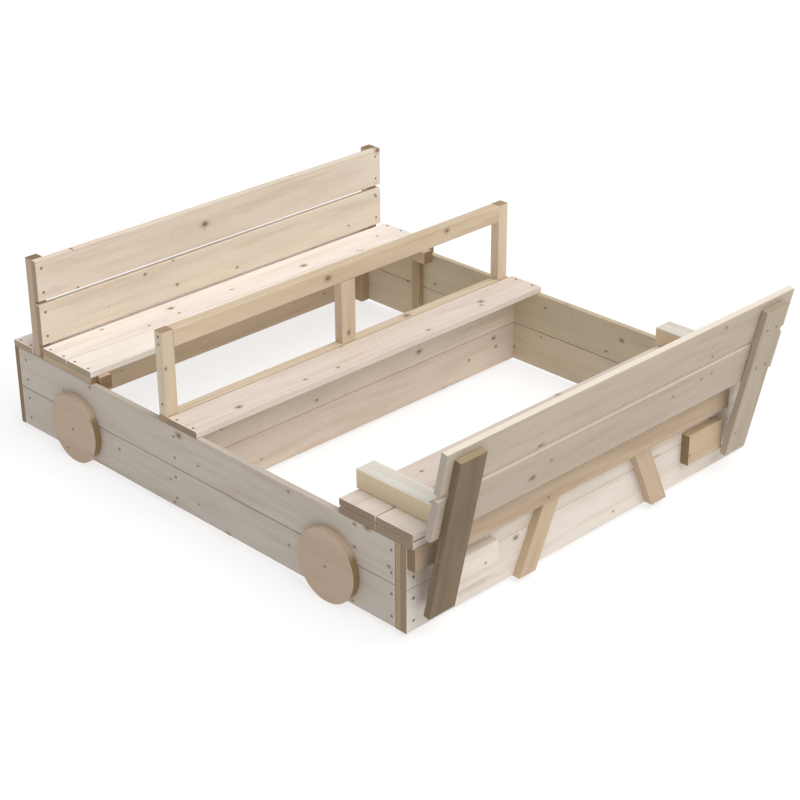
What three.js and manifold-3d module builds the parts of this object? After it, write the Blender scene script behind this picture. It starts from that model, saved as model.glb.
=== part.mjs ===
// A wooden sandpit in the shape of an open car, built from planed softwood boards.
//
// Units are millimetres. +X is the front of the car, +Y its left side and +Z is up.
// The boards are first placed from the bottom of the rear right corner of the box, and the
// whole car is then moved so that the origin is the bottom centre of its bounding box.
//
// The front bench is drawn open: its seat lies upside down on the fixed boards and its
// backrest leans outwards. It folds about two axes along Y, SEAT_HINGE and BACK_PIVOT.

import * as THREE from 'three';
import { mergeVertices } from 'three/addons/utils/BufferGeometryUtils.js';
import Module from 'manifold-3d';

const wasm = await Module();
wasm.setup();

// ---------------------------------------------------------------- driving dimensions

const BOX_LENGTH = 1505;
const BOX_WIDTH = 1270;
const BOARD = 18;            // thickness of every wall, seat and backrest board
const BOARD_WIDTH = 114.6;   // width of a wall board
const BOARD_GAP = 0.8;       // joint between two boards of a wall
const WALL_HEIGHT = 2 * BOARD_WIDTH + BOARD_GAP;
const EASE = 1.5;            // chamfer along the long edges of the timber
const STEEL_EASE = 0.2;      // and along the edges of the steel fittings
const CLEARANCE = 0.3;       // between pieces that rest on one another and can move

const REAR_CORNER = { depth: 60, width: 30 };
const FRONT_CORNER = { depth: 18, width: 45 };
const WALL_BATTEN = { x: 288, depth: 30, thick: 18 };

const DIVIDER_FRONT = 690;
const PLANK = { from: 662, to: 775 };
const SCREEN = { from: 630, to: 660, top: 478, rail: 48, post: 37, middlePost: 50, sill: 20 };
const SCREEN_ACROSS = { middle: 600, end: 1249, sillEnd: 1256 };

const RIM_BOARD = 82;
const REAR_SEAT = { from: 134, to: 345, gap: 3, spacer: 20 };
const REAR_BATTEN = { width: 33, drop: 20, overhang: 15, inset: 2 };
const REAR_BACK = { front: 131, gap: 11, board: 115, batten: 28, battenWidth: 36, rise: 4 };
const REAR_BACK_ACROSS = [4, 1255];

const FRONT_BENCH = { from: 1288, board: 117, gap: 4, layerGap: 3.4 };
const BLOCK = { width: 58, height: 51, back: 5, tongue: 30, inset: 60 };
const FRONT_BACK = { lean: 12.3, board: 113, gap: 15, edgeGap: 4 };
const FRONT_BACK_ACROSS = [2, 1258];
const OUTER_POST = { width: 85, thick: 19, below: 225, topInset: 20, inset: 28, leftInset: 57 };
const TOP_BATTEN = { thick: 25, height: 58, from: 3, to: 1152 };

const GRILLE = { width: 58, thick: 22, footInset: 385, headInset: 465 };
const HEADLIGHT = { inset: 136, width: 140, height: 84, thick: 25, bottom: 60 };
const WHEEL = { radius: 96, thick: 21, rear: 274, front: 1256, height: 82, facets: 72 };

const HINGE = { length: 80, leaf: 1.1, reach: 30, knuckle: 3.5, pin: 1.7, offset: 4, inset: 210 };
const PIVOT = { out: 16.5, up: 20.3, bolt: 4, head: 8, headThick: 5, plate: 3, flange: 28, ear: 11 };

// ---------------------------------------------------------------- materials

function wood(colour, roughness = 0.72) {
  return new THREE.MeshStandardMaterial({ color: colour, roughness, metalness: 0 });
}

const WOOD = {
  wall: wood(0xd8c6ab),
  seat: wood(0xe8d8c0),
  batten: wood(0xcf9f6b),
  post: wood(0xa58a66),
  disc: wood(0xb8966d),
};
const STEEL = new THREE.MeshStandardMaterial({ color: 0xb9bcc0, roughness: 0.38, metalness: 0.9 });

// ---------------------------------------------------------------- shapes

const car = new THREE.Group();

// A four-sided outline with its corners cut off at 45 degrees.
function easedOutline(width, height, ease) {
  const w = width / 2;
  const h = height / 2;
  return new THREE.Shape([
    new THREE.Vector2(-w + ease, -h), new THREE.Vector2(w - ease, -h),
    new THREE.Vector2(w, -h + ease), new THREE.Vector2(w, h - ease),
    new THREE.Vector2(w - ease, h), new THREE.Vector2(-w + ease, h),
    new THREE.Vector2(-w, h - ease), new THREE.Vector2(-w, -h + ease),
  ]);
}

// A planed stick that fills the box between two corners. Its long edges are eased.
function timberGeometry(low, high, ease = EASE) {
  const size = new THREE.Vector3().subVectors(high, low);
  const middle = new THREE.Vector3().addVectors(low, high).multiplyScalar(0.5);
  const along = ['x', 'y', 'z'].reduce((best, axis) => (size[axis] > size[best] ? axis : best));
  const section = { x: [size.z, size.y], y: [size.x, size.z], z: [size.x, size.y] }[along];
  const geometry = new THREE.ExtrudeGeometry(easedOutline(...section, ease), {
    depth: size[along], bevelEnabled: false,
  });
  geometry.translate(0, 0, -size[along] / 2);
  if (along === 'x') geometry.rotateY(Math.PI / 2);
  if (along === 'y') geometry.rotateX(-Math.PI / 2);
  geometry.translate(middle.x, middle.y, middle.z);
  return geometry;
}

function addMesh(name, geometry, material, parent = car) {
  const mesh = new THREE.Mesh(geometry, material);
  mesh.name = name;
  parent.add(mesh);
  return mesh;
}

// The same stick from its three spans, which is how the boards below are written.
function stick(x, y, z, ease = EASE) {
  return timberGeometry(
    new THREE.Vector3(x[0], y[0], z[0]), new THREE.Vector3(x[1], y[1], z[1]), ease,
  );
}

function timber(name, x, y, z, material, parent = car) {
  return addMesh(name, stick(x, y, z), material, parent);
}

// A round bar along Y with its axis through (x, z).
function barAlongY(radius, x, y, z, facets = 32) {
  const geometry = new THREE.CylinderGeometry(radius, radius, y[1] - y[0], facets);
  geometry.translate(x, (y[0] + y[1]) / 2, z);
  return geometry;
}

// ---------------------------------------------------------------- joining and cutting

function toSolid(geometry) {
  const bare = geometry.clone();
  bare.deleteAttribute('normal');
  bare.deleteAttribute('uv');
  const merged = mergeVertices(bare, 1e-4);
  return new wasm.Manifold(new wasm.Mesh({
    numProp: 3,
    vertProperties: new Float32Array(merged.attributes.position.array),
    triVerts: new Uint32Array(merged.index.array),
  }));
}

function toGeometry(solid) {
  const mesh = solid.getMesh();
  const geometry = new THREE.BufferGeometry();
  geometry.setAttribute('position', new THREE.BufferAttribute(mesh.vertProperties, 3));
  geometry.setIndex(new THREE.BufferAttribute(mesh.triVerts, 1));
  geometry.computeVertexNormals();
  return geometry;
}

function join(...geometries) {
  return toGeometry(geometries.map(toSolid).reduce((whole, next) => whole.add(next)));
}

function cut(geometry, ...tools) {
  return toGeometry(tools.map(toSolid).reduce((rest, tool) => rest.subtract(tool), toSolid(geometry)));
}

// ---------------------------------------------------------------- the box

const INNER_RIGHT = BOARD;
const INNER_LEFT = BOX_WIDTH - BOARD;
const FRONT_INSIDE = BOX_LENGTH - BOARD;
const SIDE_END = FRONT_INSIDE - FRONT_CORNER.depth;

function buildWalls() {
  const courses = [
    ['lower', [0, BOARD_WIDTH]],
    ['upper', [BOARD_WIDTH + BOARD_GAP, WALL_HEIGHT]],
  ];
  const across = [0, BOX_WIDTH];
  for (const [course, height] of courses) {
    timber(`rear_wall_${course}`, [0, BOARD], across, height, WOOD.wall);
    timber(`right_wall_${course}`, [BOARD, SIDE_END], [0, BOARD], height, WOOD.wall);
    timber(`left_wall_${course}`, [BOARD, SIDE_END], [INNER_LEFT, BOX_WIDTH], height, WOOD.wall);
    timber(`divider_${course}`, [DIVIDER_FRONT - BOARD, DIVIDER_FRONT], [INNER_RIGHT, INNER_LEFT],
      height, WOOD.wall);
    timber(`front_wall_${course}`, [FRONT_INSIDE, BOX_LENGTH], across, height, WOOD.wall);
  }
}

// A batten and its mirror image on the left side of the car.
function batten(name, x, y, z, material = WOOD.batten) {
  timber(`${name}_right`, x, y, z, material);
  timber(`${name}_left`, x, [BOX_WIDTH - y[1], BOX_WIDTH - y[0]], z, material);
}

function buildCorners() {
  const full = [0, WALL_HEIGHT];
  batten('corner_post_rear', [BOARD, BOARD + REAR_CORNER.depth],
    [INNER_RIGHT, INNER_RIGHT + REAR_CORNER.width], full);
  batten('corner_post_front', [SIDE_END, FRONT_INSIDE], [0, FRONT_CORNER.width], full);
  batten('wall_batten', [WALL_BATTEN.x, WALL_BATTEN.x + WALL_BATTEN.depth],
    [INNER_RIGHT, INNER_RIGHT + WALL_BATTEN.thick], [0, WALL_HEIGHT - REAR_BATTEN.drop]);
}

// ---------------------------------------------------------------- centre plank and windscreen

function buildWindscreen() {
  const depth = [SCREEN.from, SCREEN.to];
  const sillTop = WALL_HEIGHT + SCREEN.sill;
  const railBottom = SCREEN.top - SCREEN.rail;
  const { middle, end, sillEnd } = SCREEN_ACROSS;
  timber('centre_plank', [PLANK.from, PLANK.to], [0, BOX_WIDTH],
    [WALL_HEIGHT, WALL_HEIGHT + BOARD], WOOD.seat);
  timber('windscreen_sill', depth, [0, sillEnd], [WALL_HEIGHT, sillTop], WOOD.batten);
  timber('windscreen_post_right', depth, [0, SCREEN.post], [sillTop, SCREEN.top], WOOD.batten);
  timber('windscreen_post_left', depth, [end - SCREEN.post, end], [sillTop, SCREEN.top],
    WOOD.batten);
  timber('windscreen_rail', depth, [SCREEN.post, end - SCREEN.post], [railBottom, SCREEN.top],
    WOOD.batten);
  timber('windscreen_post_middle', depth, [middle, middle + SCREEN.middlePost],
    [sillTop, railBottom], WOOD.batten);
}

// ---------------------------------------------------------------- rear bench

function buildRearBench() {
  const rimTop = WALL_HEIGHT + BOARD;
  const seatTop = rimTop + BOARD;
  const across = [0, BOX_WIDTH];
  timber('rear_rim_board', [0, RIM_BOARD], across, [WALL_HEIGHT, rimTop], WOOD.seat);

  const width = (REAR_SEAT.to - REAR_SEAT.from - REAR_SEAT.gap) / 2;
  timber('rear_seat_board_back', [REAR_SEAT.from, REAR_SEAT.from + width], across,
    [rimTop, seatTop], WOOD.seat);
  timber('rear_seat_board_front', [REAR_SEAT.to - width, REAR_SEAT.to], across,
    [rimTop, seatTop], WOOD.seat);
  batten('rear_seat_spacer', [REAR_SEAT.from, REAR_SEAT.to], [0, REAR_SEAT.spacer],
    [WALL_HEIGHT, rimTop], WOOD.seat);

  const near = REAR_SEAT.spacer + REAR_BATTEN.inset;
  batten('rear_seat_batten', [REAR_SEAT.from, REAR_SEAT.to + REAR_BATTEN.overhang],
    [near, near + REAR_BATTEN.width], [WALL_HEIGHT - REAR_BATTEN.drop, rimTop]);
}

// The rear backrest is one loose panel. Its two battens drop into the slot behind the seat.
function buildRearBackrest() {
  const boards = [REAR_BACK.front - BOARD, REAR_BACK.front];
  const bottom = WALL_HEIGHT + 2 * BOARD + REAR_BACK.rise;
  const middle = bottom + REAR_BACK.board;
  const top = middle + REAR_BACK.gap + REAR_BACK.board;
  const across = REAR_BACK_ACROSS;
  timber('rear_backrest_board_lower', boards, across, [bottom, middle], WOOD.wall);
  timber('rear_backrest_board_upper', boards, across, [middle + REAR_BACK.gap, top], WOOD.wall);
  const behind = [boards[0] - REAR_BACK.batten, boards[0]];
  const tall = [WALL_HEIGHT + CLEARANCE, top];
  timber('rear_backrest_batten_right', behind, [across[0], across[0] + REAR_BACK.battenWidth],
    tall, WOOD.batten);
  timber('rear_backrest_batten_left', behind, [across[1] - REAR_BACK.battenWidth, across[1]],
    tall, WOOD.batten);
}

// ---------------------------------------------------------------- front bench

const FIXED_TOP = WALL_HEIGHT + BOARD;
const SEAT_BOTTOM = FIXED_TOP + FRONT_BENCH.layerGap;
const SEAT_TOP = SEAT_BOTTOM + BOARD;
const BENCH_END = FRONT_BENCH.from + 2 * FRONT_BENCH.board + FRONT_BENCH.gap;

// The seat axis is a little above the middle of the two layers, so that the folded seat
// stays just clear of the side walls.
const SEAT_HINGE = {
  x: FRONT_BENCH.from - HINGE.offset,
  z: (FIXED_TOP + SEAT_BOTTOM) / 2 + 0.2,
};
const BACK_PIVOT = { x: BENCH_END + PIVOT.out, z: SEAT_TOP + PIVOT.up };

// Where the two seat blocks lie across the car.
const BLOCK_SPANS = {
  right: [BLOCK.inset, BLOCK.inset + BLOCK.width],
  left: [BOX_WIDTH - BLOCK.inset - BLOCK.width, BOX_WIDTH - BLOCK.inset],
};

function buildFrontBench() {
  const inner = [FRONT_BENCH.from, FRONT_BENCH.from + FRONT_BENCH.board];
  const outer = [BENCH_END - FRONT_BENCH.board, BENCH_END];
  const across = [0, BOX_WIDTH];
  timber('front_fixed_board_inner', inner, across, [WALL_HEIGHT, FIXED_TOP], WOOD.seat);
  timber('front_fixed_board_outer', outer, across, [WALL_HEIGHT, FIXED_TOP], WOOD.seat);
  timber('front_seat_board_inner', inner, across, [SEAT_BOTTOM, SEAT_TOP], WOOD.seat);
  timber('front_seat_board_outer', outer, across, [SEAT_BOTTOM, SEAT_TOP], WOOD.seat);
  for (const [side, span] of Object.entries(BLOCK_SPANS)) buildBlock(side, span);
}

// A block across the seat boards. Its tongue carries the backrest pivot, and the lower corner
// of the tongue is rounded about the pivot so that the backrest can swing past it.
function buildBlock(side, span) {
  const { x, z } = BACK_PIVOT;
  const wide = [span[0] - 1, span[1] + 1];
  const block = stick([FRONT_BENCH.from - BLOCK.back, BENCH_END + BLOCK.tongue], span,
    [SEAT_TOP, SEAT_TOP + BLOCK.height]);
  const corner = cut(stick([x, x + 2 * PIVOT.up], wide, [z - 2 * PIVOT.up, z], STEEL_EASE),
    barAlongY(PIVOT.up, x, [span[0] - 2, span[1] + 2], z, 96));
  const hole = barAlongY(PIVOT.bolt + CLEARANCE, x, wide, z);
  addMesh(`front_seat_block_${side}`, cut(block, corner, hole), WOOD.batten);
}

// Two butt hinges join the seat to the fixed boards. Their leaves lie between the two layers.
// The pin is one piece with the outer knuckles of the fixed leaf, and the middle knuckle of the
// moving leaf turns on it.
function buildSeatHinge(side, start) {
  const { x, z } = SEAT_HINGE;
  const end = start + HINGE.length;
  const third = HINGE.length / 3;
  const middle = [start + third, end - third];
  const outside = [[start, middle[0] - CLEARANCE], [middle[1] + CLEARANCE, end]];
  const grip = HINGE.knuckle + CLEARANCE;
  const leaf = (low) => stick([x, FRONT_BENCH.from + HINGE.reach], [start, end],
    [low, low + HINGE.leaf], STEEL_EASE);

  const fixed = cut(leaf(FIXED_TOP + CLEARANCE),
    barAlongY(grip, x, [middle[0] - CLEARANCE, middle[1] + CLEARANCE], z));
  const knuckles = outside.map((y) => barAlongY(HINGE.knuckle, x, y, z));
  addMesh(`seat_hinge_fixed_${side}`,
    join(fixed, ...knuckles, barAlongY(HINGE.pin, x, [start, end], z)), STEEL);

  const moving = cut(leaf(SEAT_BOTTOM - CLEARANCE - HINGE.leaf),
    ...outside.map((y) => barAlongY(grip, x, [y[0] - 1, y[1] + 1], z)));
  const bore = barAlongY(HINGE.pin + CLEARANCE, x, [start - 1, end + 1], z);
  addMesh(`seat_hinge_moving_${side}`,
    cut(join(moving, barAlongY(HINGE.knuckle, x, middle, z)), bore), STEEL);
}

// The backrest group has its origin at the inside bottom edge of the slats: local +Z runs up
// the slats and local +X points out of the car. It is hung from the pivot, which lies inside
// the slats by as much as it lies above the seat, so that slats and seat fold flat together.
const PIVOT_IN_BACK = new THREE.Vector3(-PIVOT.up - CLEARANCE, 0, PIVOT.out - FRONT_BACK.edgeGap);

function buildFrontBackrest() {
  const back = new THREE.Group();
  back.rotation.y = THREE.MathUtils.degToRad(FRONT_BACK.lean);
  const reach = PIVOT_IN_BACK.clone().applyEuler(back.rotation);
  back.position.set(BACK_PIVOT.x, 0, BACK_PIVOT.z).sub(reach);
  car.add(back);

  const across = FRONT_BACK_ACROSS;
  const slat = [0, BOARD];
  const top = 2 * FRONT_BACK.board + FRONT_BACK.gap;
  timber('front_backrest_slat_lower', slat, across, [0, FRONT_BACK.board], WOOD.wall, back);
  timber('front_backrest_slat_upper', slat, across, [top - FRONT_BACK.board, top], WOOD.wall, back);

  const behind = [BOARD + CLEARANCE, BOARD + CLEARANCE + OUTER_POST.thick];
  const tall = [-OUTER_POST.below, top - OUTER_POST.topInset];
  const right = [OUTER_POST.inset, OUTER_POST.inset + OUTER_POST.width];
  const leftEnd = BOX_WIDTH - OUTER_POST.leftInset;
  timber('front_backrest_post_right', behind, right, tall, WOOD.post, back);
  timber('front_backrest_post_left', behind, [leftEnd - OUTER_POST.width, leftEnd], tall,
    WOOD.post, back);

  for (const [side, span] of Object.entries(BLOCK_SPANS)) buildPivotPlate(side, span, back);
}

// A steel angle on the inside of the lower slat. Its ear lies beside the seat block and turns
// on the pivot bolt.
function buildPivotPlate(side, span, back) {
  const { x, z } = PIVOT_IN_BACK;
  const start = span[1] + 1;
  const tall = [z - PIVOT.ear, z + 4 * PIVOT.ear];
  const flange = stick([-CLEARANCE - PIVOT.plate, -CLEARANCE], [start, start + PIVOT.flange], tall,
    STEEL_EASE);
  const ear = stick([x - PIVOT.ear, -CLEARANCE], [start, start + PIVOT.plate],
    [tall[0], z + PIVOT.ear], STEEL_EASE);
  const hole = barAlongY(PIVOT.bolt + CLEARANCE, x, [start - 1, start + PIVOT.plate + 1], z);
  addMesh(`pivot_plate_${side}`, cut(join(flange, ear), hole), STEEL, back);
}

// The pivot bolt has a round head on the right of the block and a nut, one piece with it, on
// the far side of the plate.
function buildPivotBolt(side, span) {
  const { x, z } = BACK_PIVOT;
  const head = span[0] - CLEARANCE;
  const nut = span[1] + 1 + PIVOT.plate + CLEARANCE;
  const bolt = join(
    barAlongY(PIVOT.bolt, x, [head - 1, nut + PIVOT.headThick + 1], z),
    barAlongY(PIVOT.head, x, [head - PIVOT.headThick, head], z),
    barAlongY(PIVOT.head, x, [nut, nut + PIVOT.headThick], z, 6),
  );
  addMesh(`pivot_bolt_${side}`, bolt, STEEL);
}

// ---------------------------------------------------------------- the face and the wheels

function buildFace() {
  const underBatten = WALL_HEIGHT - TOP_BATTEN.height;
  timber('front_top_batten', [BOX_LENGTH, BOX_LENGTH + TOP_BATTEN.thick],
    [TOP_BATTEN.from, TOP_BATTEN.to], [underBatten, WALL_HEIGHT], WOOD.batten);
  batten('headlight', [BOX_LENGTH, BOX_LENGTH + HEADLIGHT.thick],
    [HEADLIGHT.inset, HEADLIGHT.inset + HEADLIGHT.width],
    [HEADLIGHT.bottom, HEADLIGHT.bottom + HEADLIGHT.height]);
  buildGrilleBar('grille_bar_right', GRILLE.footInset, GRILLE.headInset, underBatten);
  buildGrilleBar('grille_bar_left', BOX_WIDTH - GRILLE.footInset, BOX_WIDTH - GRILLE.headInset,
    underBatten);
}

// A slanted bar on the front wall, cut level at its foot and its head.
function buildGrilleBar(name, foot, head, height) {
  const half = GRILLE.width / 2;
  const outline = new THREE.Shape([
    new THREE.Vector2(foot - half, 0), new THREE.Vector2(foot + half, 0),
    new THREE.Vector2(head + half, height), new THREE.Vector2(head - half, height),
  ]);
  const geometry = new THREE.ExtrudeGeometry(outline, { depth: GRILLE.thick, bevelEnabled: false });
  const axes = new THREE.Matrix4().makeBasis(
    new THREE.Vector3(0, 1, 0), new THREE.Vector3(0, 0, 1), new THREE.Vector3(1, 0, 0),
  );
  geometry.applyMatrix4(axes);
  geometry.translate(BOX_LENGTH, 0, 0);
  addMesh(name, geometry, WOOD.batten);
}

// A wheel is a flat disc with an eased rim, screwed to the outside of a wall. The discs reach
// a little lower than the walls, so that the car stands on them.
function buildWheel(name, x, outward) {
  const { radius, thick, height, facets } = WHEEL;
  const profile = [
    [0, 0], [radius, 0], [radius, thick - EASE], [radius - EASE, thick], [0, thick],
  ].map(([r, depth]) => new THREE.Vector2(r, depth));
  const geometry = new THREE.LatheGeometry(profile, facets);
  if (outward < 0) geometry.rotateX(Math.PI);
  geometry.translate(x, outward > 0 ? BOX_WIDTH : 0, height);
  addMesh(name, geometry, WOOD.disc);
}

function buildWheels() {
  buildWheel('wheel_rear_right', WHEEL.rear, -1);
  buildWheel('wheel_front_right', WHEEL.front, -1);
  buildWheel('wheel_rear_left', WHEEL.rear, 1);
  buildWheel('wheel_front_left', WHEEL.front, 1);
}

// ---------------------------------------------------------------- assembly

buildWalls();
buildCorners();
buildWindscreen();
buildRearBench();
buildRearBackrest();
buildFrontBench();
buildSeatHinge('right', HINGE.inset);
buildSeatHinge('left', BOX_WIDTH - HINGE.inset - HINGE.length);
buildFrontBackrest();
for (const [side, span] of Object.entries(BLOCK_SPANS)) buildPivotBolt(side, span);
buildFace();
buildWheels();

// Move the car so that the origin is the bottom centre of its bounding box.
const bounds = new THREE.Box3().setFromObject(car, true);
const centre = bounds.getCenter(new THREE.Vector3());
car.position.set(-centre.x, -centre.y, -bounds.min.z);

export default car;
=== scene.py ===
"""The look of a wooden sandpit shaped like an open car: planed softwood, steel fittings, screws.

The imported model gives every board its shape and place. This script gives each board its own
piece of wood (grain along the board, end grain, knots), adds the screw heads, and sets a plain
studio around the car. Units are metres, in the model's own frame: +X is the front of the car,
+Y its left side, +Z is up.
"""

import math
import random

import bmesh
import bpy
from mathutils import Matrix, Vector


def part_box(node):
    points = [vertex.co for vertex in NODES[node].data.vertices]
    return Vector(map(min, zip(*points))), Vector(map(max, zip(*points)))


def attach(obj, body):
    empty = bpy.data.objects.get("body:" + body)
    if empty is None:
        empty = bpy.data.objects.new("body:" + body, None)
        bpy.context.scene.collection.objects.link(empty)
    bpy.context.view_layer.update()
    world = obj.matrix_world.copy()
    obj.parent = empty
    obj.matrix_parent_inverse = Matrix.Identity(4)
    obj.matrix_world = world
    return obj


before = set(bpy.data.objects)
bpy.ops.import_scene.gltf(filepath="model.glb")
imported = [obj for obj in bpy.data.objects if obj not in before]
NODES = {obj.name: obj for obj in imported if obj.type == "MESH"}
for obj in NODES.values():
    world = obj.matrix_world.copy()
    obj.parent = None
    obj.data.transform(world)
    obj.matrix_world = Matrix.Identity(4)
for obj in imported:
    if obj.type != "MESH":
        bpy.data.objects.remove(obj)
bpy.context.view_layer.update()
MM = 0.001

# ------------------------------------------------------------------ camera and studio

CAMERA_AZIMUTH = 45.48       # degrees from the right side of the car towards its front
CAMERA_ELEVATION = 26.65
CAMERA_ROLL = -0.35
CAMERA_DISTANCE = 5.241
CAMERA_TARGET = Vector((-0.022, 0.042, 0.119))
LENS = 87.5                  # mm
SENSOR = 36                  # mm


def add_camera():
    """The camera looks at its target from the right and the front of the car, from above."""
    azimuth = math.radians(CAMERA_AZIMUTH)
    elevation = math.radians(CAMERA_ELEVATION)
    towards = Vector((
        math.sin(azimuth) * math.cos(elevation),
        -math.cos(azimuth) * math.cos(elevation),
        math.sin(elevation),
    ))
    camera = bpy.data.objects.new("camera", bpy.data.cameras.new("camera"))
    bpy.context.scene.collection.objects.link(camera)
    camera.data.lens = LENS
    camera.data.sensor_width = SENSOR
    turn = towards.to_track_quat("Z", "Y").to_matrix().to_4x4()
    roll = Matrix.Rotation(math.radians(CAMERA_ROLL), 4, "Z")
    place = Matrix.Translation(CAMERA_TARGET + towards * CAMERA_DISTANCE)
    camera.matrix_world = place @ turn @ roll
    bpy.context.scene.camera = camera


SUN_ELEVATION = 60           # degrees; a wide, soft lamp in front of the car
SUN_AZIMUTH = 15             # degrees from +X towards +Y
SUN_SPREAD = 55
SUN_STRENGTH = 2.25
SUN_COLOUR = (1.0, 0.96, 0.90)
SKY_STRENGTH = 0.45
SKY_COLOUR = (0.94, 0.97, 1.0)
FLOOR_HALF = 40              # half the floor's width
FLOOR_DROP = 0.5 * MM        # how far the floor lies below the wheels
FLOOR_GREY = 0.33
FLOOR_ROUGHNESS = 0.9
FLOOR_GLOW = 0.70            # the floor is a light table, so that shadows on it stay faint


def add_sun():
    azimuth = math.radians(SUN_AZIMUTH)
    elevation = math.radians(SUN_ELEVATION)
    light = bpy.data.lights.new("sun", "SUN")
    light.energy = SUN_STRENGTH
    light.angle = math.radians(SUN_SPREAD)
    light.color = SUN_COLOUR
    sun = bpy.data.objects.new("sun", light)
    bpy.context.scene.collection.objects.link(sun)
    towards = Vector((
        math.cos(azimuth) * math.cos(elevation),
        math.sin(azimuth) * math.cos(elevation),
        math.sin(elevation),
    ))
    sun.rotation_euler = towards.to_track_quat("Z", "Y").to_euler()


def add_sky():
    world = bpy.data.worlds.new("studio")
    bpy.context.scene.world = world
    world.use_nodes = True
    background = world.node_tree.nodes["Background"]
    background.inputs["Color"].default_value = rgba(SKY_COLOUR)
    background.inputs["Strength"].default_value = SKY_STRENGTH
    bpy.context.scene.view_settings.view_transform = "Standard"


def add_floor():
    far = FLOOR_HALF
    corners = [(-far, -far, 0), (far, -far, 0), (far, far, 0), (-far, far, 0)]
    mesh = bpy.data.meshes.new("floor")
    mesh.from_pydata(corners, [], [(0, 1, 2, 3)])
    floor = bpy.data.objects.new("floor", mesh)
    bpy.context.scene.collection.objects.link(floor)
    floor.location.z = -FLOOR_DROP
    material = bpy.data.materials.new("floor")
    material.use_nodes = True
    shader = material.node_tree.nodes["Principled BSDF"]
    shader.inputs["Base Color"].default_value = rgba((FLOOR_GREY,) * 3)
    shader.inputs["Roughness"].default_value = FLOOR_ROUGHNESS
    shader.inputs["Specular IOR Level"].default_value = 0.0
    shader.inputs["Emission Color"].default_value = (1, 1, 1, 1)
    shader.inputs["Emission Strength"].default_value = FLOOR_GLOW
    mesh.materials.append(material)


# ------------------------------------------------------------------ node helpers

class Graph:
    """Short names for the few node types the materials are made of."""

    def __init__(self, material):
        material.use_nodes = True
        self.tree = material.node_tree
        self.shader = self.tree.nodes["Principled BSDF"]

    def node(self, kind, **settings):
        node = self.tree.nodes.new(kind)
        for key, value in settings.items():
            setattr(node, key, value)
        return node

    def feed(self, socket, value):
        if isinstance(value, bpy.types.NodeSocket):
            self.tree.links.new(value, socket)
        else:
            socket.default_value = value

    def math(self, operation, a, b=0.0, clamp=False):
        node = self.node("ShaderNodeMath", operation=operation, use_clamp=clamp)
        self.feed(node.inputs[0], a)
        self.feed(node.inputs[1], b)
        return node.outputs[0]

    def vector(self, operation, a, b=(0, 0, 0)):
        node = self.node("ShaderNodeVectorMath", operation=operation)
        self.feed(node.inputs[0], a)
        self.feed(node.inputs[1], b)
        return node.outputs["Value"] if operation in ("LENGTH", "DOT_PRODUCT") else node.outputs[0]

    def noise(self, where, scale, detail=2.0, roughness=0.5, distortion=0.0):
        node = self.node("ShaderNodeTexNoise")
        self.feed(node.inputs["Vector"], where)
        node.inputs["Scale"].default_value = scale
        node.inputs["Detail"].default_value = detail
        node.inputs["Roughness"].default_value = roughness
        node.inputs["Distortion"].default_value = distortion
        return node.outputs["Fac"]

    def spread(self, value, low, high, to_low=0.0, to_high=1.0):
        """The value carried smoothly from the range low..high to the range to_low..to_high."""
        node = self.node("ShaderNodeMapRange", interpolation_type="SMOOTHSTEP")
        self.feed(node.inputs["Value"], value)
        node.inputs["From Min"].default_value = low
        node.inputs["From Max"].default_value = high
        node.inputs["To Min"].default_value = to_low
        node.inputs["To Max"].default_value = to_high
        return node.outputs["Result"]

    def mix(self, factor, a, b, blend="MIX"):
        node = self.node("ShaderNodeMix", data_type="RGBA", blend_type=blend)
        self.feed(node.inputs["Factor"], factor)
        self.feed(node.inputs["A"], a)
        self.feed(node.inputs["B"], b)
        return node.outputs["Result"]

    def join(self, x, y, z):
        node = self.node("ShaderNodeCombineXYZ")
        for socket, value in zip(node.inputs, (x, y, z)):
            self.feed(socket, value)
        return node.outputs[0]

    def bump(self, height, strength, distance):
        node = self.node("ShaderNodeBump")
        node.inputs["Strength"].default_value = strength
        node.inputs["Distance"].default_value = distance
        self.feed(node.inputs["Height"], height)
        self.feed(self.shader.inputs["Normal"], node.outputs[0])


def rgba(colour):
    return (*colour, 1.0)


# ------------------------------------------------------------------ wood

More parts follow.
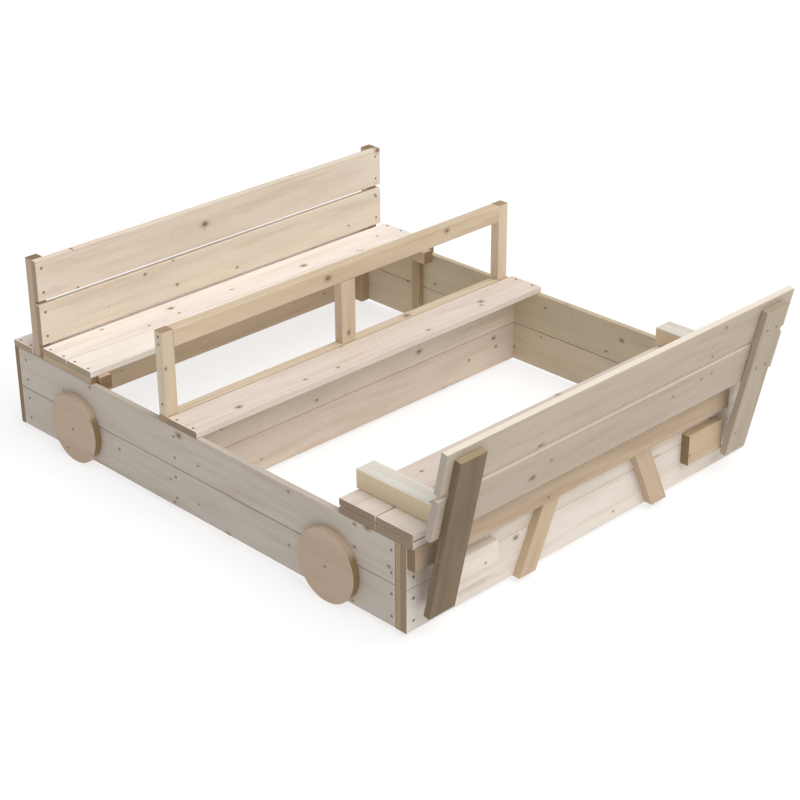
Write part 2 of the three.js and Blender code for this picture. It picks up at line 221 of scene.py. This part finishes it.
# Linear colours of untreated spruce: early wood, late wood and end grain. Some pieces have their
# narrow edges painted in a colour of their own: on the slats a painted highlight, a lighter colour
# that stands in for light catching their top and bottom edges; on the block a warmer orange.
TONES = {
    "white": {"early": (0.89, 0.82, 0.77), "late": (0.7, 0.61, 0.53),
              "end": (0.46, 0.35, 0.25)},
    "pale": {"early": (0.85, 0.74, 0.64), "late": (0.65, 0.52, 0.4),
             "end": (0.46, 0.35, 0.24)},
    "seat": {"early": (0.79, 0.715, 0.65), "late": (0.62, 0.52, 0.43),
             "end": (0.36, 0.26, 0.18)},
    "panel": {"early": (0.69, 0.59, 0.495), "late": (0.52, 0.41, 0.31),
              "end": (0.42, 0.32, 0.22)},
    "wall": {"early": (0.58, 0.53, 0.46), "late": (0.43, 0.37, 0.31),
             "end": (0.38, 0.29, 0.2)},
    "amber": {"early": (0.61, 0.51, 0.37), "late": (0.46, 0.36, 0.24),
              "end": (0.38, 0.28, 0.17)},
    "slat": {"early": (0.54, 0.455, 0.36), "late": (0.4, 0.32, 0.24),
             "end": (0.56, 0.49, 0.42), "edge": (0.88, 0.8, 0.7)},
    "grey": {"early": (0.49, 0.41, 0.325), "late": (0.36, 0.29, 0.215),
             "end": (0.46, 0.38, 0.29)},
    "block": {"early": (0.76, 0.72, 0.65), "late": (0.6, 0.55, 0.48),
              "end": (0.5, 0.42, 0.32), "edge": (0.74, 0.59, 0.38)},
    "tan": {"early": (0.44, 0.325, 0.2), "late": (0.33, 0.235, 0.14),
            "end": (0.36, 0.26, 0.16)},
    "stick": {"early": (0.72, 0.6, 0.45), "late": (0.56, 0.42, 0.28),
              "end": (0.46, 0.33, 0.2)},
    "batten": {"early": (0.58, 0.45, 0.315), "late": (0.42, 0.3, 0.19),
               "end": (0.31, 0.21, 0.12)},
    "brown": {"early": (0.215, 0.155, 0.095), "late": (0.155, 0.109, 0.066),
              "end": (0.44, 0.33, 0.21)},
    "disc": {"early": (0.57, 0.43, 0.32), "late": (0.46, 0.335, 0.24),
             "end": (0.31, 0.21, 0.11)},
}
KNOT = (0.19, 0.115, 0.065)
KNOT_RIM = (0.34, 0.23, 0.14)
# Knots run through a board from face to face, so they are laid out on its wide face: how many
# places for one there are in a metre along and across, the largest radius as a share of such a
# place, and the share of the places that hold a knot.
KNOT_LAYERS = (
    {"along": 4.4, "across": 6.6, "radius": 0.052, "share": 0.62},
    {"along": 9.0, "across": 13.0, "radius": 0.050, "share": 0.45},
)
KNOT_SCATTER = 0.6           # how far a knot strays from the middle of its place
KNOT_LEAST = 0.0001          # the radius in a place that holds no knot
KNOT_REACH = {               # from full strength to none, in radii from the knot's middle
    "core": (0.45, 1.05),
    "rim": (0.9, 2.1),
    "bend": (1.0, 3.5),
}

# Every board has its own shade, its own place in the tree and its own rings.
FIRST_SEED = 40
SHADE_RANGE = (0.95, 1.05)
TINT_RANGE = (0.985, 1.015)
OFFSET_RANGE = (-9, 9)
PITH_ASIDE = (-0.05, 0.05)   # how far the pith lies from the board's middle, both ways
PITH_AWAY = (0.05, 0.11)
RINGS_IN_A_METRE = (190, 250)
RING_WAVE = 0.020            # how far slow waves and knots push the rings
RING_BEND = 0.006

# The noises. A stretch below 1 draws a noise out along the grain, which is its first direction.
WAVE = {"scale": 7.0, "detail": 3.0, "roughness": 0.55}
STREAKS = {"scale": 34, "detail": 4.0, "roughness": 0.6, "distortion": 0.3}
FIBRES = {"scale": 620, "detail": 2.0, "roughness": 0.6}
BLOTCHES = {"scale": 9.0, "detail": 3.0, "roughness": 0.55}
PORES = {"scale": 900, "detail": 1.0}
GRAIN_STRETCH = (0.09, 1, 1)
FIBRE_STRETCH = (0.02, 1, 1)
BLOTCH_STRETCH = (0.35, 1, 1)

# Between which levels a feature comes up, and between which it fades again.
LATE_RISES = (0.25, 0.86)    # shares of the way from one ring to the next
LATE_FALLS = (0.90, 1.0)
STREAKS_ON_RINGS = (0.25, 0.75)
RINGS_LEAST = 0.35           # how much of a ring is left where there is no streak
STREAK_LEVELS = (0.44, 0.74)
BLOTCH_LEVELS = (0.40, 0.70)
FIBRE_LEVELS = (0.3, 0.7)
PORE_LEVELS = (0.35, 0.75)
ROUGH_LEVELS = (0.2, 0.8)

# How strongly each feature changes the colour, as a share of a full change.
RING_SHARE = 0.50
STREAK_SHARE = 0.62
BLOTCH_SHARE = 0.50
FIBRE_SHARE = 0.18
RIM_SHARE = 0.45
KNOT_SHARE = 0.78
# the painted edge colour: a painted highlight on the slats' narrow edges, orange on the block's
PAINTED_EDGE_SHARE = 0.85
END_RING_SHARE = 0.75
PORE_SHARE = 0.30
BLOTCH_SHADE = 0.88          # these darken a tone's own colour
END_RING_SHADE = 0.62
PORE_SHADE = 0.55

SQUARELY = (0.75, 0.9)       # how squarely a face looks along a line before it counts as doing so
WOOD_ROUGHNESS = (0.58, 0.74)
END_ROUGHER = 0.12
WOOD_SPECULAR = 0.32
GRAIN_DEPTH = 0.6 * MM
GRAIN_RELIEF = 0.55
LATE_HEIGHT = 0.5            # late wood and fibres stand out of a planed face, knots lie deeper
FIBRE_HEIGHT = 0.6
KNOT_SINK = 0.5
WOOD_EDGE = 0.7 * MM         # rounding of a board's edges
STEEL_EDGE = 0.25 * MM
SHARP = math.radians(30)     # edges that turn by less than this are not rounded
EDGE_STEPS = 2

UPRIGHT = 0.7                # a direction that climbs more than this counts as upright
BACKREST_LEAN = math.radians(12.3)   # of the front backrest, outwards
GRILLE_SLOPE = 80 / 172      # of a grille bar, sideways for each step up
AXES = {"x": Vector((1, 0, 0)), "y": Vector((0, 1, 0)), "z": Vector((0, 0, 1))}


def add_knots(g, flat, layer):
    """How far each point is from the nearest knot, as a multiple of that knot's radius."""
    cells = g.node("ShaderNodeTexVoronoi", voronoi_dimensions="2D", feature="F1")
    places = g.vector("MULTIPLY", flat, (layer["along"], layer["across"], 0))
    g.feed(cells.inputs["Vector"], places)
    cells.inputs["Scale"].default_value = 1.0
    cells.inputs["Randomness"].default_value = KNOT_SCATTER
    pick = g.node("ShaderNodeSeparateColor")
    g.feed(pick.inputs["Color"], cells.outputs["Color"])
    empty = 1 - layer["share"]
    radius = g.spread(pick.outputs["Red"], empty, 1.0, KNOT_LEAST, layer["radius"])
    return g.math("DIVIDE", cells.outputs["Distance"], radius)


def knot_masks(g, flat):
    """How much a point belongs to a knot's core, to its rim, and to the grain bent round it."""
    masks = dict.fromkeys(KNOT_REACH, 0.0)
    for layer in KNOT_LAYERS:
        near = add_knots(g, flat, layer)
        for part, reach in KNOT_REACH.items():
            masks[part] = g.math("MAXIMUM", masks[part], g.spread(near, *reach, 1.0, 0.0))
    return masks["core"], masks["rim"], masks["bend"]


def wood_material(name, along, tone, seed):
    """Wood whose grain runs along the unit vector `along`. The year rings are cylinders round a
    pith that lies off the board's middle, so flat faces show flames and the ends show arcs."""
    dice = random.Random(seed)
    level = dice.uniform(*SHADE_RANGE)
    tint = [level * dice.uniform(*TINT_RANGE) for _ in range(3)]
    offset = Vector([dice.uniform(*OFFSET_RANGE) for _ in range(3)])
    pith = (dice.uniform(*PITH_ASIDE), dice.uniform(*PITH_AWAY) * dice.choice((-1, 1)))
    rings = dice.uniform(*RINGS_IN_A_METRE)

    def tinted(colour, shade=1.0):
        return rgba(tuple(c * t * shade for c, t in zip(colour, tint)))

    wood = TONES[tone]
    material = bpy.data.materials.new("wood_" + name)
    g = Graph(material)
    coordinates = g.node("ShaderNodeTexCoord")
    place = coordinates.outputs["Object"]
    normal = coordinates.outputs["Normal"]

    # Turn the place so that its first coordinate runs along the grain.
    side = AXES["z"] if abs(along.z) < UPRIGHT else AXES["y"]
    second = side.cross(along).normalized()
    third = along.cross(second)
    length = g.math("ADD", g.vector("DOT_PRODUCT", place, along), offset.x)
    aside = g.vector("DOT_PRODUCT", place, second)
    away = g.vector("DOT_PRODUCT", place, third)
    local = g.join(length, aside, away)
    shifted = g.vector("ADD", local, (0, offset.y, offset.z))
    long_grain = g.vector("MULTIPLY", shifted, GRAIN_STRETCH)

    # Knots are laid out along the board and across the wider of its two long faces.
    low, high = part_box(name)
    size = high - low
    wide, shift = second, offset.y
    if abs(size.dot(third)) > abs(size.dot(second)):
        wide, shift = third, offset.z
    across = g.math("ADD", g.vector("DOT_PRODUCT", place, wide), shift)
    core, rim, bend = knot_masks(g, g.join(length, across, 0.0))

    # Year rings round the pith, bent by slow waves and by the knots.
    centre = centre_of(name)
    middle = (0, centre.dot(second) + pith[0], centre.dot(third) + pith[1])
    outwards = g.vector("MULTIPLY", g.vector("SUBTRACT", local, middle), (0, 1, 1))
    wave = g.math("MULTIPLY", g.noise(long_grain, **WAVE), RING_WAVE)
    radius = g.math("ADD", g.vector("LENGTH", outwards), wave)
    radius = g.math("ADD", radius, g.math("MULTIPLY", bend, RING_BEND))
    phase = g.math("FRACT", g.math("MULTIPLY", radius, rings))
    late = g.spread(phase, *LATE_RISES)
    late = g.math("MULTIPLY", late, g.spread(phase, *LATE_FALLS, 1.0, 0.0))

    # The colour of the long faces.
    fibres = g.noise(g.vector("MULTIPLY", shifted, FIBRE_STRETCH), **FIBRES)
    streaks = g.noise(long_grain, **STREAKS)
    blotches = g.noise(g.vector("MULTIPLY", shifted, BLOTCH_STRETCH), **BLOTCHES)
    grain = g.math("MULTIPLY", late, g.spread(streaks, *STREAKS_ON_RINGS, RINGS_LEAST, 1.0))
    late_colour = tinted(wood["late"])
    blotch_colour = tinted(wood["early"], BLOTCH_SHADE)
    colour = tinted(wood["early"])
    for share, towards in (
        (g.math("MULTIPLY", grain, RING_SHARE), late_colour),
        (g.spread(streaks, *STREAK_LEVELS, 0.0, STREAK_SHARE), late_colour),
        (g.spread(blotches, *BLOTCH_LEVELS, 0.0, BLOTCH_SHARE), blotch_colour),
        (g.spread(fibres, *FIBRE_LEVELS, 0.0, FIBRE_SHARE), late_colour),
        (g.math("MULTIPLY", rim, RIM_SHARE), tinted(KNOT_RIM)),
        (g.math("MULTIPLY", core, KNOT_SHARE), tinted(KNOT)),
    ):
        colour = g.mix(share, colour, towards)
    # Painted highlight: the slats' narrow edges get a lighter colour that stands in for light
    # catching them; the block's narrow edges get an orange colour.
    if "edge" in wood:
        on_edge = g.math("ABSOLUTE", g.vector("DOT_PRODUCT", normal, wide))
        colour = g.mix(g.spread(on_edge, *SQUARELY, 0.0, PAINTED_EDGE_SHARE), colour, tinted(wood["edge"]))

    # End grain on the faces that look along the board.
    facing = g.math("ABSOLUTE", g.vector("DOT_PRODUCT", normal, along))
    is_end = g.spread(facing, *SQUARELY)
    pores = g.spread(g.noise(shifted, **PORES), *PORE_LEVELS, 0.0, PORE_SHARE)
    end_rings = g.math("MULTIPLY", late, END_RING_SHARE)
    end = g.mix(end_rings, tinted(wood["end"]), tinted(wood["end"], END_RING_SHADE))
    end = g.mix(pores, end, tinted(wood["end"], PORE_SHADE))
    g.feed(g.shader.inputs["Base Color"], g.mix(is_end, colour, end))

    rough = g.spread(streaks, *ROUGH_LEVELS, *WOOD_ROUGHNESS)
    rough = g.math("ADD", rough, g.math("MULTIPLY", is_end, END_ROUGHER))
    g.feed(g.shader.inputs["Roughness"], rough)
    g.shader.inputs["Specular IOR Level"].default_value = WOOD_SPECULAR

    relief = g.math("MULTIPLY", late, LATE_HEIGHT)
    relief = g.math("ADD", relief, g.math("MULTIPLY", fibres, FIBRE_HEIGHT))
    relief = g.math("SUBTRACT", relief, g.math("MULTIPLY", core, KNOT_SINK))
    g.bump(relief, GRAIN_RELIEF, GRAIN_DEPTH)
    return material


def centre_of(node):
    """The middle of a node's box."""
    low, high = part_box(node)
    return (low + high) / 2


def grain_axis(node):
    """The direction of a board's grain: its longest side, or for the leaning and slanted pieces
    the line that joins the middles of its two ends. On the wheels it runs along the car."""
    if node.startswith("front_backrest_post"):
        return Vector((math.sin(BACKREST_LEAN), 0, math.cos(BACKREST_LEAN)))
    if node.startswith("grille_bar"):
        slope = GRILLE_SLOPE if node.endswith("right") else -GRILLE_SLOPE
        return Vector((0, slope, 1)).normalized()
    if node.startswith("wheel"):
        return AXES["x"]
    low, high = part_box(node)
    size = high - low
    longest = max(range(3), key=lambda i: size[i])
    return AXES["xyz"[longest]]


# ------------------------------------------------------------------ which board gets which wood

# The first rule whose start fits a node's name gives its tone; the last one fits every name.
TONE_RULES = (
    ("wheel", "disc"),
    ("front_backrest_post_right", "brown"),
    ("front_backrest_post_left", "grey"),
    ("front_backrest", "slat"),
    ("rear_backrest_board", "pale"),
    ("divider", "panel"),
    ("left_wall", "amber"),
    ("right_wall", "wall"),
    ("front_wall", "seat"),
    ("headlight_right", "seat"),
    ("front_seat_board", "seat"),
    ("front_fixed_board", "seat"),
    ("rear_seat_board", "white"),
    ("rear_rim_board", "white"),
    ("centre_plank", "seat"),
    ("windscreen", "stick"),
    ("front_seat_block", "block"),
    ("corner_post", "tan"),
    ("wall_batten", "tan"),
    ("", "batten"),
)


def tone_of(node):
    return next(tone for start, tone in TONE_RULES if node.startswith(start))


STEEL_NODES = [n for n in NODES if n.startswith(("seat_hinge", "pivot_"))]


def finish_wood():
    for index, (name, obj) in enumerate(sorted(NODES.items())):
        if name in STEEL_NODES:
            continue
        obj.data.materials.clear()
        wood = wood_material(name, grain_axis(name), tone_of(name), FIRST_SEED + index)
        obj.data.materials.append(wood)
        soften_edges(obj, WOOD_EDGE)


def soften_edges(obj, width):
    bevel = obj.modifiers.new("soft_edges", "BEVEL")
    bevel.width = width
    bevel.segments = EDGE_STEPS
    bevel.limit_method = "ANGLE"
    bevel.angle_limit = SHARP
    bevel.harden_normals = True


# ------------------------------------------------------------------ steel

ZINC = (0.56, 0.57, 0.58)
ZINC_SCRATCHES = 420         # the scale of the noise that makes the scratches
SCREW_COLOUR = (0.19, 0.165, 0.135)
SCREW_SCRATCHES = 900
SCRATCH_STRETCH = (1, 0.06, 1)
SPANGLE = {"scale": 260, "detail": 3.0, "roughness": 0.6}
SPANGLE_LEVELS = (0.35, 0.7)
SPANGLE_SHADE = 0.72
STEEL_ROUGHNESS = (0.30, 0.52)
SCRATCH_DEPTH = 0.2 * MM
SCRATCH_RELIEF = 0.25


def steel_material(name, colour, scratch_scale):
    """Steel with a mottled shade and fine scratches."""
    material = bpy.data.materials.new(name)
    g = Graph(material)
    place = g.node("ShaderNodeTexCoord").outputs["Object"]
    spangle = g.noise(place, **SPANGLE)
    scratches = g.noise(g.vector("MULTIPLY", place, SCRATCH_STRETCH), scratch_scale)
    darker = rgba(tuple(c * SPANGLE_SHADE for c in colour))
    shade = g.mix(g.spread(spangle, *SPANGLE_LEVELS), rgba(colour), darker)
    g.feed(g.shader.inputs["Base Color"], shade)
    g.shader.inputs["Metallic"].default_value = 1.0
    rough = g.spread(scratches, *ROUGH_LEVELS, *STEEL_ROUGHNESS)
    g.feed(g.shader.inputs["Roughness"], rough)
    g.bump(scratches, SCRATCH_RELIEF, SCRATCH_DEPTH)
    return material


def finish_steel():
    material = steel_material("zinc_plate", ZINC, ZINC_SCRATCHES)
    for name in STEEL_NODES:
        NODES[name].data.materials.clear()
        NODES[name].data.materials.append(material)
        soften_edges(NODES[name], STEEL_EDGE)


# ------------------------------------------------------------------ screws

SCREW_RADIUS = 3.8 * MM
# Radius and height as shares of the head's radius, from the rim to the socket's floor.
SCREW_PROFILE = (
    (1.00, -0.30), (1.00, 0.00), (0.93, 0.09), (0.62, 0.13), (0.40, 0.13), (0.36, -0.20),
)
SOCKET_WITHIN = 0.5          # rings with a smaller radius than this belong to the socket
SOCKET_LOBES = 6
LOBE_DEPTH = 0.16
SCREW_STEPS = 24

# Where the screws sit, as shares of a board's width or as distances from its edges and ends.
ACROSS_WALL = (0.24, 0.76)
ACROSS_BACKREST = (0.2, 0.8)
ACROSS_SEAT = (0.22, 0.78)
SEAT_END = 10 * MM
WALL_END = 12 * MM
POST_EDGE = 24 * MM
POST_DOWN = (60 * MM, 175 * MM)
WINDSCREEN_DOWN = (14 * MM, 34 * MM)
WINDSCREEN_UP = 30 * MM
OUT_BEFORE_UP = 9            # a post's outer top corner: being outside counts before being high
SIDES = (("right", -1), ("left", 1))
ENDS = (("rear", -1), ("front", 1))
SEAT_BOARDS = ("centre_plank", "rear_rim_board", "rear_seat_board_back", "rear_seat_board_front")


def add_screw_head(mesh, place, outward):
    """A countersunk head with a six-lobed socket, sunk so that only its top shows."""
    turn = outward.to_track_quat("Z", "Y").to_matrix()
    rings = []
    for radius, height in SCREW_PROFILE:
        ring = []
        for step in range(SCREW_STEPS):
            angle = 2 * math.pi * step / SCREW_STEPS
            lobe = 1 + LOBE_DEPTH * math.cos(SOCKET_LOBES * angle) if radius < SOCKET_WITHIN else 1
            reach = radius * lobe
            point = Vector((reach * math.cos(angle), reach * math.sin(angle), height))
            ring.append(mesh.verts.new(place + turn @ (point * SCREW_RADIUS)))
        rings.append(ring)
    for lower, upper in zip(rings, rings[1:]):
        for step in range(SCREW_STEPS):
            after = (step + 1) % SCREW_STEPS
            mesh.faces.new((lower[step], lower[after], upper[after], upper[step]))
    mesh.faces.new(rings[-1])
    mesh.faces.new(list(reversed(rings[0])))


def add_screws(name, body, places, outward):
    """Screw heads at `places`, in one object that rides on `body`."""
    mesh = bmesh.new()
    for place in places:
        add_screw_head(mesh, Vector(place), Vector(outward))
    data = bpy.data.meshes.new(name)
    mesh.to_mesh(data)
    mesh.free()
    data.materials.append(SCREW_STEEL)
    screws = bpy.data.objects.new(name, data)
    bpy.context.scene.collection.objects.link(screws)
    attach(screws, body)


def spread_between(low, high, shares):
    return [low + (high - low) * share for share in shares]


def screw_walls():
    """Pairs of screws at both ends of each wall board, and into the divider's ends."""
    for side, sign in SIDES:
        rear = centre_of(f"corner_post_rear_{side}").x
        divider = centre_of("divider_lower").x
        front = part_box(f"corner_post_front_{side}")[0].x - WALL_END
        places = []
        for course in ("lower", "upper"):
            low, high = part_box(f"{side}_wall_{course}")
            face = low.y if sign < 0 else high.y
            for x in (rear, divider, front):
                places += [(x, face, z) for z in spread_between(low.z, high.z, ACROSS_WALL)]
        add_screws(f"screws_wall_{side}", "car", places, (0, sign, 0))
    for end, sign in ENDS:
        places = []
        for course in ("lower", "upper"):
            low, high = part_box(f"{end}_wall_{course}")
            face = low.x if sign < 0 else high.x
            for side, _ in SIDES:
                y = centre_of(f"corner_post_{end}_{side}").y
                places += [(face, y, z) for z in spread_between(low.z, high.z, ACROSS_WALL)]
        add_screws(f"screws_wall_{end}", "car", places, (sign, 0, 0))


def screw_seats():
    """Two screws near each end of the plank and of each board of the rear bench."""
    places = []
    for board in SEAT_BOARDS:
        low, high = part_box(board)
        for x in spread_between(low.x, high.x, ACROSS_SEAT):
            places += [(x, y, high.z) for y in (low.y + SEAT_END, high.y - SEAT_END)]
    add_screws("screws_seats", "car", places, (0, 0, 1))


def screw_rear_backrest():
    """Two screws through each end of each board into the battens behind them."""
    places = []
    for board in ("rear_backrest_board_lower", "rear_backrest_board_upper"):
        low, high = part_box(board)
        for side, _ in SIDES:
            y = centre_of(f"rear_backrest_batten_{side}").y
            places += [(high.x, y, z) for z in spread_between(low.z, high.z, ACROSS_BACKREST)]
    add_screws("screws_rear_backrest", "rear_backrest", places, (1, 0, 0))


def screw_front_backrest():
    """Screws through the outer posts into the slats, on the posts' leaning outer faces."""
    up = Vector((math.sin(BACKREST_LEAN), 0, math.cos(BACKREST_LEAN)))
    out = Vector((math.cos(BACKREST_LEAN), 0, -math.sin(BACKREST_LEAN)))
    places = []
    for side, _ in SIDES:
        post = f"front_backrest_post_{side}"
        low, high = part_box(post)
        corners = [vertex.co for vertex in NODES[post].data.vertices]
        outer_top = Vector(max(corners, key=lambda co: co.dot(out) * OUT_BEFORE_UP + co.dot(up)))
        for down in POST_DOWN:
            point = outer_top - up * down
            places += [(point.x, y, point.z) for y in (low.y + POST_EDGE, high.y - POST_EDGE)]
    add_screws("screws_front_backrest", "front_backrest", places, out)


def screw_windscreen():
    """Two screws at the top and one at the foot of each outer post."""
    for side, sign in SIDES:
        post = f"windscreen_post_{side}"
        low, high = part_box(post)
        x = centre_of(post).x
        face = low.y if sign < 0 else high.y
        heights = [high.z - down for down in WINDSCREEN_DOWN] + [low.z + WINDSCREEN_UP]
        places = [(x, face, z) for z in heights]
        add_screws(f"screws_windscreen_{side}", "car", places, (0, sign, 0))


def screw_wheels():
    """One screw in the middle of each wheel."""
    for side, sign in SIDES:
        places = []
        for end, _ in ENDS:
            wheel = f"wheel_{end}_{side}"
            low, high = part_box(wheel)
            centre = centre_of(wheel)
            places.append((centre.x, low.y if sign < 0 else high.y, centre.z))
        add_screws(f"screws_wheels_{side}", "car", places, (0, sign, 0))


# ------------------------------------------------------------------ build

add_camera()
add_sun()
add_sky()
add_floor()
finish_wood()
finish_steel()
SCREW_STEEL = steel_material("screw_steel", SCREW_COLOUR, SCREW_SCRATCHES)
screw_walls()
screw_seats()
screw_rear_backrest()
screw_front_backrest()
screw_windscreen()
screw_wheels()
